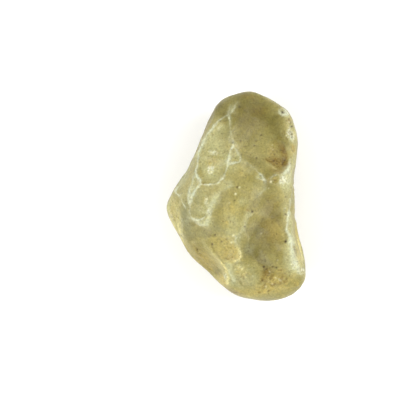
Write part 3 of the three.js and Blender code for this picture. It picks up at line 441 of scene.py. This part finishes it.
def bodyPoints(directions):
    level = np.hypot(directions[:, 0], directions[:, 1])
    bearing = np.arctan2(directions[:, 1], directions[:, 0])
    radius = np.interp(bearing, outlineBearing, outlineRadius, period=2 * math.pi)
    rise = np.where(directions[:, 2] > 0, pebble["crownRise"], pebble["bellyDrop"])
    rise = rise * (1 - pebble["endThinning"] * directions[:, 1])
    power, blend = pebble["boxiness"], pebble["faceBlend"]
    inverse = ((level / radius) ** power + (np.abs(directions[:, 2]) / rise) ** power) ** (blend / power)
    for bearing, pitch, reach in pebble["wornFaces"]:
        inverse = inverse + (np.clip(directions @ unitVector(bearing, pitch), 0, None) / reach) ** blend
    return directions * (inverse ** (-1 / blend))[:, None] + pebble["hub"]


def bodyNormal(direction, step=0.02):
    aside = np.cross((0, 0, 1), direction)
    aside = aside / np.linalg.norm(aside)
    above = np.cross(direction, aside)
    around = np.array([direction + step * axis for axis in (aside, -aside, above, -above)])
    points = bodyPoints(around / np.linalg.norm(around, axis=1, keepdims=True))
    normal = np.cross(points[0] - points[1], points[2] - points[3])
    return normal / np.linalg.norm(normal)


def bend(points):
    # shifts the points a little across and along, so that no hollow is a true ellipse
    x, y, z = points.T
    across, along = (
        sum(height * np.sin(byX * x + byY * y + byZ * z + start) for height, byX, byY, byZ, start in waves)
        for waves in (pebble["bendAcross"], pebble["bendAlong"]))
    return np.stack([x + across, y + along, z], -1)


def withinEllipse(across, along, halfAcross, halfAlong, turn):
    c, s = math.cos(math.radians(turn)), math.sin(math.radians(turn))
    return (across * c + along * s) / halfAcross, (along * c - across * s) / halfAlong


def hollowDepth(offset, out, across, along, halfAcross, halfAlong, turn, depth, crisp=1, leanX=0, leanY=0):
    u, v = withinEllipse(offset @ across, offset @ along, halfAcross, halfAlong, turn)
    inside = np.clip(1 - u * u - v * v, 0, None)
    return depth * inside ** (2 - crisp) * np.clip(1 + leanX * u + leanY * v, 0, None) * out


def upperDepths(points, hollows):
    bent, shown = bend(points), fadeBetween(*pebble["upperFade"], points[:, 2])
    right, up = np.array([1.0, 0, 0]), np.array([0, 1.0, 0])
    for x, y, *shape in hollows.values():
        yield hollowDepth(bent - (x, y, 0), shown, right, up, *shape)


def sideDepths(points, hollows):
    bent = bend(points)
    for bearing, pitch, *shape in hollows:
        direction = unitVector(bearing, pitch)
        out = bodyNormal(direction)
        across = np.cross((0, 0, 1), out)
        across = across / np.linalg.norm(across)
        offset = bent - bend(bodyPoints(direction[None]))
        shown = fadeBetween(*pebble["sideFade"], offset @ out)
        yield hollowDepth(offset, shown, across, np.cross(out, across), *shape)


def boxGrid(cuts):
    # six faces of a box, cut into quads that share their edge vertices, as directions from its middle
    lattice, quads, start = [], [], 0
    for axis in range(3):
        first, second = (axis + 1) % 3, (axis + 2) % 3
        for end in (0, cuts[axis]):
            i, j = np.meshgrid(np.arange(cuts[first] + 1), np.arange(cuts[second] + 1), indexing="ij")
            face = np.zeros((i.size, 3), int)
            face[:, axis], face[:, first], face[:, second] = end, i.ravel(), j.ravel()
            row = cuts[second] + 1
            corner = (i[:-1, :-1] * row + j[:-1, :-1]).ravel() + start
            ring = [corner, corner + row, corner + row + 1, corner + 1]
            quads.append(np.stack(ring if end else ring[::-1], -1))
            lattice.append(face)
            start += len(face)
    unique, index = np.unique(np.concatenate(lattice), axis=0, return_inverse=True)
    directions = np.tan((unique / np.array(cuts) - 0.5) * math.pi / 2) * pebble["spread"]
    directions = directions / np.linalg.norm(directions, axis=1, keepdims=True)
    return directions, index.reshape(-1)[np.concatenate(quads)]


def vertexNormals(points, quads):
    a, b, c, d = (points[quads[:, k]] for k in range(4))
    faceNormal = np.cross(c - a, d - b)
    total = np.zeros_like(points)
    for k in range(4):
        np.add.at(total, quads[:, k], faceNormal)
    return total / np.linalg.norm(total, axis=1, keepdims=True)


def wear(points, quads, depths):
    # where hollows overlap the deeper one counts, so they share one crest
    blend = pebble["brinkBlend"]
    deep = sum(depth**blend for depth in depths) ** (1 / blend)
    return points - vertexNormals(points, quads) * deep[:, None]


directions, quads = boxGrid(pebble["cuts"])
points = bodyPoints(directions)
points = wear(points, quads, upperDepths(points, pebble["wideHollows"]))
points = wear(points, quads, [
    *upperDepths(points, pebble["cells"]), *sideDepths(points, pebble["sideHollows"])])
print("stone formed,", len(points), "vertices")


def noiseField(size, shift):
    # three smooth random values at each vertex, about -1 to 1
    return np.array([noise.noise_vector(Vector(p) / size + Vector((shift, 0, 0))) for p in points])


def curveThrough(stops, steps=8):
    # open curve through a line's stops, to just short of the last
    stops = np.array(stops) / (1, 1, 100, 100)
    ends = np.vstack([2 * stops[0] - stops[1], stops, 2 * stops[-1] - stops[-2]])
    where = np.append(np.arange((len(stops) - 1) * steps) / steps, len(stops) - 1 - 1e-6)
    index = where.astype(int)
    return catmullRom(*(ends[index + k] for k in range(4)), (where - index)[:, None])


noise.seed_set(pebble["seed"])
fineNoise, patchNoise = (noiseField(*pebble[kind]) for kind in ("fineNoise", "patchNoise"))
upper = fadeBetween(*pebble["upperSlope"], vertexNormals(points, quads)[:, 2])


def lineMask(stops):
    # how strongly each vertex lies on a line, which swells and narrows a little and has a faint halo
    wearing = pebble["lineWear"]
    plan = points[:, :2] + fineNoise[:, :2] * wearing["sway"]
    line = curveThrough(stops)
    mask = np.zeros(len(points))
    for start, end in zip(line[:-1], line[1:]):
        near = np.abs(plan - start[:2]).max(1) < wearing["reach"]
        along = end[:2] - start[:2]
        offset = plan[near] - start[:2]
        t = np.clip(offset @ along / (along @ along), 0, 1)
        gap = np.linalg.norm(offset - t[:, None] * along, axis=1)
        strong, width = (start[k] + (end[k] - start[k]) * t for k in (2, 3))
        far = (gap / (width * (1 + wearing["swell"] * fineNoise[near, 2]))) ** 2
        halo = wearing["halo"] * np.exp(-far / wearing["haloSpread"] ** 2)
        mask[near] = np.maximum(mask[near], strong * np.maximum(np.exp(-far), halo))
    left = np.clip(1 + wearing["wear"] * patchNoise[:, 2], wearing["faintest"], wearing["boldest"])
    return np.clip(mask * left, 0, 1)


def patchMask(patch, softness):
    x, y, halfX, halfY, turn, strong, *own = patch
    soft = own[0] / 100 if own else softness
    wearing = pebble["patchWear"]
    plan = points[:, :2] + patchNoise[:, :2] * wearing["drift"] + fineNoise[:, :2] * wearing["fray"]
    reach = np.hypot(*withinEllipse(plan[:, 0] - x, plan[:, 1] - y, halfX, halfY, turn))
    return strong / 100 * (1 - fadeBetween(wearing["edge"] - soft, wearing["edge"] + soft, reach))


def markingMask(kind):
    # a kind's lines and patches build up where they overlap, and clouds of it lie on the sides
    bare = np.ones(len(points))
    for patch in pebble["patches"].get(kind, []):
        bare = bare * (1 - patchMask(patch, pebble["softness"][kind]))
    for stops in pebble["lines"].get(kind, {}).values():
        bare = bare * (1 - lineMask(stops))
    clouds = pebble["sideClouds"]
    first, step = clouds["shift"]
    shift = first + step * list(clouds["strength"]).index(kind)
    cloudy = fadeBetween(*clouds["fade"], noiseField(clouds["size"], shift)[:, 0])
    return (1 - bare) * upper + clouds["strength"][kind] * cloudy * (1 - upper)


def speckMask(spots):
    mask = np.zeros(len(points))
    for x, y, radius, strong in spots:
        gap = np.hypot(points[:, 0] - x, points[:, 1] - y)
        mask = np.maximum(mask, strong / 100 * np.exp(-((gap / (radius / 100)) ** 2)))
    return np.clip(mask * upper, 0, 1)


def roughField(height, size, fineness, step, octaves):
    return height * np.array([noise.fractal(Vector(p) / size, fineness, step, octaves) for p in points])


def smoothed(values, rounds):
    # each round moves every vertex halfway to the mean of its neighbours
    start, end = np.concatenate([quads[:, [k, (k + 1) % 4]] for k in range(4)]).T
    count = np.bincount(np.concatenate([start, end]), minlength=len(values))[:, None]
    for _ in range(rounds):
        total = np.stack([
            np.bincount(start, column[end], len(column)) + np.bincount(end, column[start], len(column))
            for column in values.T], -1)
        values = 0.5 * values + 0.5 * total / count
    return values


masks = {kind: markingMask(kind) for kind in pebble["sideClouds"]["strength"]}
for kind, spots in pebble["specks"].items():
    masks[kind] = speckMask(spots)
relief = pebble["relief"]
raised = roughField(*relief["grain"]) + roughField(*relief["crust"]) * masks["crust"]
raised = raised + relief["brink"] * masks["crest"] - relief["pinhole"] * masks["pinhole"]
points = points + vertexNormals(points, quads) * raised[:, None]
restLevel = points[:, 2].max() - (cadHigh[2] - cadLow[2]) / mm
points[:, 2] = np.maximum(points[:, 2], restLevel)
middle = (points.min(0) + points.max(0)) / 2

tone = pebble["tone"]
normals = vertexNormals(points, quads)
proud, broad = (((points - smoothed(points, rounds)) * normals).sum(1) for rounds in tone["rounds"])
# convex edges paled like worn brinks, partly painted highlight
edges = np.clip((proud - tone["edgeFrom"]) / tone["edgeRise"], 0, 1)
masks["crest"] = np.maximum(edges * (tone["edgeStrength"] - tone["upperLess"] * upper), masks["crest"])
masks["hollow"] = np.clip(-broad / tone["hollow"], 0, 1)
# painted shade: the steep sides darkened, like thick glass seen edge-on
masks["brim"] = 1 - fadeBetween(*tone["brimSlope"], normals[:, 2])
pitting = sum((share * masks[kind] for kind, share in tone["pitting"].items()), tone["barePitting"])
masks["pitting"] = np.clip(pitting, 0, 1)
print("markings laid")

mesh = bpy.data.meshes.new("pebble")
place = (points - (middle[0], middle[1], restLevel)) * mm
mesh.from_pydata(place.tolist(), [], quads.tolist())
for name, values in masks.items():
    mesh.attributes.new(name, "FLOAT", "POINT").data.foreach_set("value", values.astype(np.float32))
mesh.shade_smooth()
stone = bpy.data.objects.new("pebble", mesh)
bpy.context.scene.collection.objects.link(stone)


def linearColour(hexCode):
    parts = [int(hexCode[i:i + 2], 16) / 255 for i in (0, 2, 4)]
    return tuple(p / 12.92 if p <= 0.04045 else ((p + 0.055) / 1.055) ** 2.4 for p in parts) + (1.0,)


def addNode(tree, kind, settings=None, inputs=None):
    node = tree.nodes.new(kind)
    for key, value in (settings or {}).items():
        setattr(node, key, value)
    for key, value in (inputs or {}).items():
        if isinstance(value, bpy.types.NodeSocket):
            tree.links.new(value, node.inputs[key])
        else:
            node.inputs[key].default_value = value
    return node


glass = {
    "clear": "b0a667", "deep": "9d9350",  # the second in clouds
    "cloudSize": 5, "cloudDetail": 3.0, "cloudFade": (0.35, 0.65),
    # mask, grain in mm, how much the grain breaks it up, where it starts and is full, strength, colour
    "layers": [
        ("hollow", 3.0, 0.3, 0.1, 0.9, 0.25, "9a904c"),
        # pale glass, partly painted light where more light comes through thin glass
        ("milk", 1.3, 0.4, 0.0, 1.0, 0.85, "c5c48e"),
        # painted shade: darker olive where the glass is thick and less light comes through
        ("shade", 2.4, 0.2, 0.0, 1.0, 0.92, "6d641f"),
        ("smoke", 1.8, 0.3, 0.0, 1.0, 0.6, "969771"),
        ("honey", 0.9, 0.5, 0.0, 1.1, 0.75, "c5b260"),
        ("iron", 1.6, 0.3, 0.0, 1.1, 0.72, "84650c"),
        ("iron", 0.36, 1.6, 0.45, 1.3, 0.6, "624a08"),
        ("crust", 1.7, 1.6, 0.5, 1.3, 0.35, "cdb968"),
        ("crust", 1.2, 1.7, 0.9, 1.7, 0.6, "755c20"),
        # painted light: golden glow along edges where light comes through the glass
        ("glow", 0.6, 0.4, 0.05, 1.0, 0.82, "e6dc95"),
        # painted shade: dark lines along creases and thick edges
        ("crease", 1.2, 0.3, 0.05, 1.0, 0.75, "746830"),
        # painted shade on the steep sides
        ("brim", 2.2, 0.5, 0.0, 1.2, 0.4, "85763a"),
        # frosted white, partly painted sheen where faces catch the light
        ("frost", 0.45, 1.3, 0.1, 1.2, 0.85, "eaebd0"),
        ("windPit", 1.0, 0.2, 0.2, 1.0, 0.45, "857439"),
        # pale brinks: worn frosting, partly painted highlight along the edges
        ("crest", 0.7, 0.3, 0.0, 1.0, 0.82, "dde2c3"),
    ],
    "mottle": [(1.2, 0.08), (0.42, 0.27)],  # grain in mm and how far it shifts the brightness
    "mottleFade": (0.3, 0.7),
    "grainDetail": 4.0, "layerRoughness": 0.6, "mottleRoughness": 0.65,
    "grit": (0.9, 0.10, 0.24, 0.6, "66501f"),  # spacing, inner and outer radius in mm, strength, colour
    # dark pinholes, and pale glints that are painted highlights
    "pinhole": "3a2810", "glint": "f7f4c2",
    "roughness": 0.42, "ior": 1.46, "specular": 0.3, "transmission": 0.35,
    "subsurface": 0.3, "scatter": (1.0, 0.8, 0.5),  # mm that red, green and blue light travel
    "bump": 0.7, "bumpHeight": 0.14,
    "absorb": "d0cc78", "absorbDensity": 12.0,
}


def makeGlass():
    # Natural silica glass, etched by blown sand: a waxy, half-clear body under a fine matt skin
    material = bpy.data.materials.new("desert glass, wind-frosted")
    material.use_nodes = True
    tree = material.node_tree
    tree.nodes.clear()
    where = addNode(tree, "ShaderNodeTexCoord").outputs["Object"]

    clouds = addNode(tree, "ShaderNodeTexNoise", None, {
        "Vector": where, "Scale": 1 / (glass["cloudSize"] * mm), "Detail": glass["cloudDetail"]})
    low, high = glass["cloudFade"]
    cloudy = addNode(tree, "ShaderNodeMapRange", None, {
        "Value": clouds.outputs["Fac"], "From Min": low, "From Max": high})
    colour = addNode(tree, "ShaderNodeMix", {"data_type": "RGBA"}, {
        0: cloudy.outputs["Result"], 6: linearColour(glass["clear"]),
        7: linearColour(glass["deep"])}).outputs[2]

    for mask, grainSize, breakUp, low, high, strength, hexCode in glass["layers"]:
        laid = addNode(tree, "ShaderNodeAttribute", {"attribute_name": mask})
        grains = addNode(tree, "ShaderNodeTexNoise", None, {
            "Vector": where, "Scale": 1 / (grainSize * mm), "Detail": glass["grainDetail"],
            "Roughness": glass["layerRoughness"]})
        ragged = addNode(tree, "ShaderNodeMath", {"operation": "MULTIPLY_ADD"}, {
            0: grains.outputs["Fac"], 1: 4 * breakUp, 2: 1 - 2 * breakUp})
        broken = addNode(tree, "ShaderNodeMath", {"operation": "MULTIPLY"}, {
            0: laid.outputs["Fac"], 1: ragged.outputs[0]})
        amount = addNode(tree, "ShaderNodeMapRange", {"interpolation_type": "SMOOTHSTEP"}, {
            "Value": broken.outputs[0], "From Min": low, "From Max": high, "To Max": strength})
        colour = addNode(tree, "ShaderNodeMix", {"data_type": "RGBA"}, {
            0: amount.outputs["Result"], 6: colour, 7: linearColour(hexCode)}).outputs[2]

    low, high = glass["mottleFade"]
    for grainSize, swing in glass["mottle"]:
        grains = addNode(tree, "ShaderNodeTexNoise", None, {
            "Vector": where, "Scale": 1 / (grainSize * mm), "Detail": glass["grainDetail"],
            "Roughness": glass["mottleRoughness"]})
        value = addNode(tree, "ShaderNodeMapRange", None, {
            "Value": grains.outputs["Fac"], "From Min": low, "From Max": high, "To Min": 1 - swing,
            "To Max": 1 + swing})
        colour = addNode(tree, "ShaderNodeHueSaturation", None, {
            "Color": colour, "Value": value.outputs["Result"]}).outputs["Color"]

    # Grit caught in the smallest pits, drawn about twice as coarse as it is so that it shows
    spacing, inner, outer, strength, hexCode = glass["grit"]
    cellsOfGrit = addNode(tree, "ShaderNodeTexVoronoi", None, {"Vector": where, "Scale": 1 / (spacing * mm)})
    dots = addNode(tree, "ShaderNodeMapRange", {"interpolation_type": "SMOOTHSTEP"}, {
        "Value": cellsOfGrit.outputs["Distance"], "From Min": inner / spacing, "From Max": outer / spacing,
        "To Min": strength, "To Max": 0.0})
    thinned = addNode(tree, "ShaderNodeMath", {"operation": "MULTIPLY"}, {
        0: dots.outputs["Result"], 1: cellsOfGrit.outputs["Color"]})
    colour = addNode(tree, "ShaderNodeMix", {"data_type": "RGBA"}, {
        0: thinned.outputs[0], 6: colour, 7: linearColour(hexCode)}).outputs[2]
    # painted highlights at the glints, and dark pinholes
    for mask in ("glint", "pinhole"):
        laid = addNode(tree, "ShaderNodeAttribute", {"attribute_name": mask})
        colour = addNode(tree, "ShaderNodeMix", {"data_type": "RGBA"}, {
            0: laid.outputs["Fac"], 6: colour, 7: linearColour(glass[mask])}).outputs[2]

    bump = addNode(tree, "ShaderNodeBump", None, {
        "Strength": glass["bump"], "Distance": glass["bumpHeight"] * mm, "Height": grains.outputs["Fac"]})
    shader = addNode(tree, "ShaderNodeBsdfPrincipled", None, {
        "Base Color": colour,
        "Roughness": glass["roughness"],
        "IOR": glass["ior"],
        "Specular IOR Level": glass["specular"],
        "Transmission Weight": glass["transmission"],
        "Subsurface Weight": glass["subsurface"],
        "Subsurface Radius": tuple(depth * mm for depth in glass["scatter"]),
        "Subsurface Scale": 1.0,
        "Normal": bump.outputs["Normal"],
    })
    absorb = addNode(tree, "ShaderNodeVolumeAbsorption", None, {
        "Color": linearColour(glass["absorb"]), "Density": glass["absorbDensity"]})
    addNode(tree, "ShaderNodeOutputMaterial", None, {
        "Surface": shader.outputs["BSDF"], "Volume": absorb.outputs["Volume"]})
    return material


windPits = {
    "Pits per m2": 0.3e6, "Least gap": 0.7 * mm, "Radius": 0.34 * mm, "Depth": 0.07 * mm, "Smallest": 0.7,
    "Largest": 1.3, "Seed": 11, "Material": makeGlass(),
}
print("glass made")


def makeWindPits():
    # small round pits drilled by blown sand, closest where the glass is roughest
    tree = bpy.data.node_groups.new("wind pits", "GeometryNodeTree")
    tree.interface.new_socket("Geometry", in_out="INPUT", socket_type="NodeSocketGeometry")
    tree.interface.new_socket("Geometry", in_out="OUTPUT", socket_type="NodeSocketGeometry")
    for name, value in windPits.items():
        kind = {int: "NodeSocketInt", float: "NodeSocketFloat"}.get(type(value), "NodeSocketMaterial")
        tree.interface.new_socket(name, in_out="INPUT", socket_type=kind)
    given = addNode(tree, "NodeGroupInput").outputs
    pitting = addNode(tree, "GeometryNodeInputNamedAttribute", None, {"Name": "pitting"})
    scatter = addNode(tree, "GeometryNodeDistributePointsOnFaces", {"distribute_method": "POISSON"}, {
        "Mesh": given["Geometry"], "Distance Min": given["Least gap"], "Density Max": given["Pits per m2"],
        "Density Factor": pitting.outputs["Attribute"], "Seed": given["Seed"]}).outputs["Points"]
    anySize = addNode(tree, "FunctionNodeRandomValue", None, {
        2: given["Smallest"], 3: given["Largest"], "Seed": given["Seed"]})
    nearest = addNode(tree, "GeometryNodeSampleNearest", None, {"Geometry": scatter})
    size = addNode(tree, "GeometryNodeSampleIndex", None, {
        "Geometry": scatter, "Value": anySize.outputs[1], "Index": nearest.outputs["Index"]}).outputs["Value"]
    gap = addNode(tree, "GeometryNodeProximity", {"target_element": "POINTS"}, {0: scatter})
    reach = addNode(tree, "ShaderNodeMath", {"operation": "MULTIPLY"}, {0: given["Radius"], 1: size})
    share = addNode(tree, "ShaderNodeMath", {"operation": "DIVIDE"}, {
        0: gap.outputs["Distance"], 1: reach.outputs[0]})
    bowl = addNode(tree, "ShaderNodeMapRange", {"interpolation_type": "SMOOTHSTEP"}, {
        "Value": share.outputs[0], "To Min": 1.0, "To Max": 0.0}).outputs["Result"]
    inward = given["Depth"]
    for factor in (size, bowl, -1.0):
        inward = addNode(tree, "ShaderNodeMath", {"operation": "MULTIPLY"}, {0: inward, 1: factor}).outputs[0]
    normal = addNode(tree, "GeometryNodeInputNormal").outputs["Normal"]
    shift = addNode(tree, "ShaderNodeVectorMath", {"operation": "SCALE"}, {0: normal, "Scale": inward})
    pitted = addNode(tree, "GeometryNodeSetPosition", None, {
        "Geometry": given["Geometry"], "Offset": shift.outputs["Vector"]})
    named = addNode(tree, "GeometryNodeStoreNamedAttribute", None, {
        "Geometry": pitted.outputs["Geometry"], "Name": "windPit", "Value": bowl})
    real = addNode(tree, "GeometryNodeRealizeInstances", None, {"Geometry": named.outputs["Geometry"]})
    dressed = addNode(tree, "GeometryNodeSetMaterial", None, {
        "Geometry": real.outputs["Geometry"], "Material": given["Material"]})
    addNode(tree, "NodeGroupOutput", None, {"Geometry": dressed.outputs["Geometry"]})
    return tree


modifier = stone.modifiers.new("wind pits", "NODES")
modifier.node_group = makeWindPits()
for item in modifier.node_group.interface.items_tree:
    if item.in_out == "INPUT" and item.name in windPits:
        modifier[item.identifier] = windPits[item.name]
depsgraph = bpy.context.evaluated_depsgraph_get()
pittedMesh = bpy.data.meshes.new_from_object(
    stone.evaluated_get(depsgraph), preserve_all_data_layers=True, depsgraph=depsgraph)
stone.modifiers.clear()
stone.data = pittedMesh
print("wind pits drilled")

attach(stone, "root")
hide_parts("desert_glass")

studio = {
    "frameWidth": 89.4,  # mm across the picture at the stone's widest level
    "frameCentre": (-6.19, -2.62),  # mm, in the outline's own measure
    "lens": 800, "sensor": 36.0,
    "floorSize": 3000, "floorDrop": 0.1,
    "paper": "f3f3f2", "paperRoughness": 0.9,
    "roomLight": 0.7,
    # place and size in mm, and power in watts
    "softboxes": {"right": ((350, 80, 350), 300, 2.15), "left": ((-330, -160, 330), 300, 2.15)},
}
half, drop = studio["floorSize"] / 2, studio["floorDrop"]
corners = np.array([(x * half, y * half, -drop) for x, y in ((-1, -1), (1, -1), (1, 1), (-1, 1))]) * mm
floorMesh = bpy.data.meshes.new("floor")
floorMesh.from_pydata(corners.tolist(), [], [(0, 1, 2, 3)])
floor = bpy.data.objects.new("floor", floorMesh)
bpy.context.scene.collection.objects.link(floor)
# Uncoated white paper: an even white with no sheen
paper = bpy.data.materials.new("matt white paper")
paper.use_nodes = True
surface = paper.node_tree.nodes["Principled BSDF"].inputs
surface["Base Color"].default_value = linearColour(studio["paper"])
surface["Roughness"].default_value = studio["paperRoughness"]
floorMesh.materials.append(paper)

world = bpy.data.worlds.new("soft room")
world.use_nodes = True
background = world.node_tree.nodes["Background"].inputs
background["Color"].default_value = (1, 1, 1, 1)
background["Strength"].default_value = studio["roomLight"]
bpy.context.scene.world = world

for name, (spot, size, power) in studio["softboxes"].items():
    light = bpy.data.objects.new("softbox " + name, bpy.data.lights.new("softbox " + name, "AREA"))
    light.data.size, light.data.energy = size * mm, power
    light.location = Vector(spot) * mm
    light.rotation_euler = (-Vector(spot)).to_track_quat("-Z", "Y").to_euler()
    bpy.context.scene.collection.objects.link(light)

camera = bpy.data.objects.new("camera", bpy.data.cameras.new("camera"))
camera.data.lens, camera.data.sensor_width = studio["lens"], studio["sensor"]
distance = studio["frameWidth"] * studio["lens"] / studio["sensor"]
lookAt = np.array(studio["frameCentre"]) - middle[:2]
camera.location = Vector((*lookAt, distance - restLevel)) * mm
bpy.context.scene.collection.objects.link(camera)
bpy.context.scene.camera = camera
bpy.context.scene.view_settings.view_transform = "Standard"

print("scene ready")
